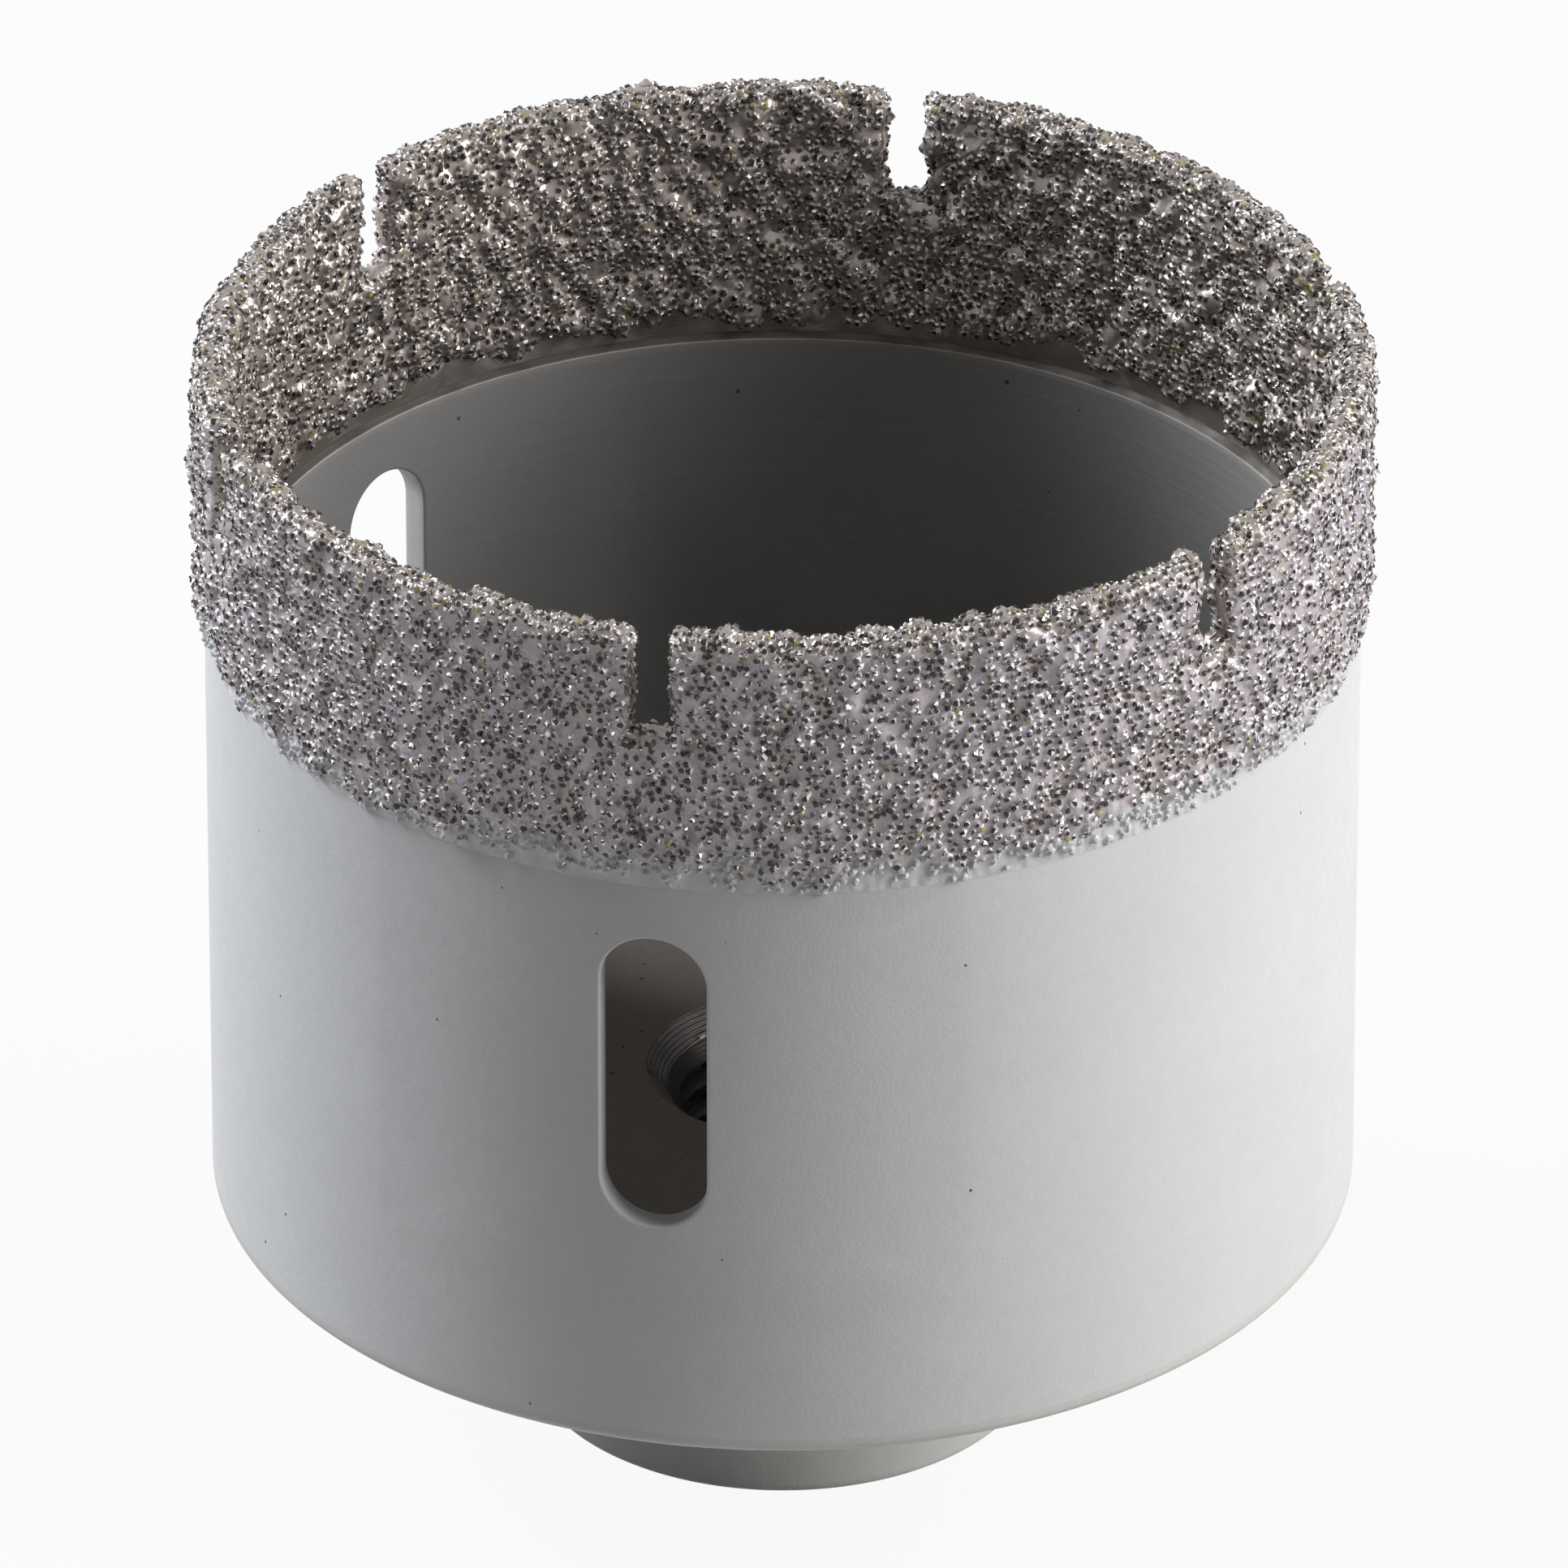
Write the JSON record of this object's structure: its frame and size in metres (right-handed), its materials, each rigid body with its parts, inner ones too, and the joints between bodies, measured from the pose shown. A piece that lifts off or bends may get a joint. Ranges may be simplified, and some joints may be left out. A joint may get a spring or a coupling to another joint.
{
  "type": "diamond core bit",
  "caption": "Round hole cutter for an angle grinder: a steel tube on a threaded hub, with side slots and a rough brazed grit rim.",
  "frame": {"origin": "centre of the hub's bottom face, on the axis of the thread", "axes": "+Z along the axis, from the hub towards the cutting rim; the first slot and the first notch face -Y"},
  "size_m": [0.068, 0.068, 0.0677],
  "materials": {
    "tube_paint": "silver-grey satin paint over steel",
    "hub_paint": "silver-grey satin paint over turned steel",
    "brazed_grit": "rough grey braze full of dark and bright grains"
  },
  "bodies": {
    "root": {"barrel": "tube_paint", "base_hub": "hub_paint", "grit_coat": "brazed_grit"}
  },
  "joints": []
}
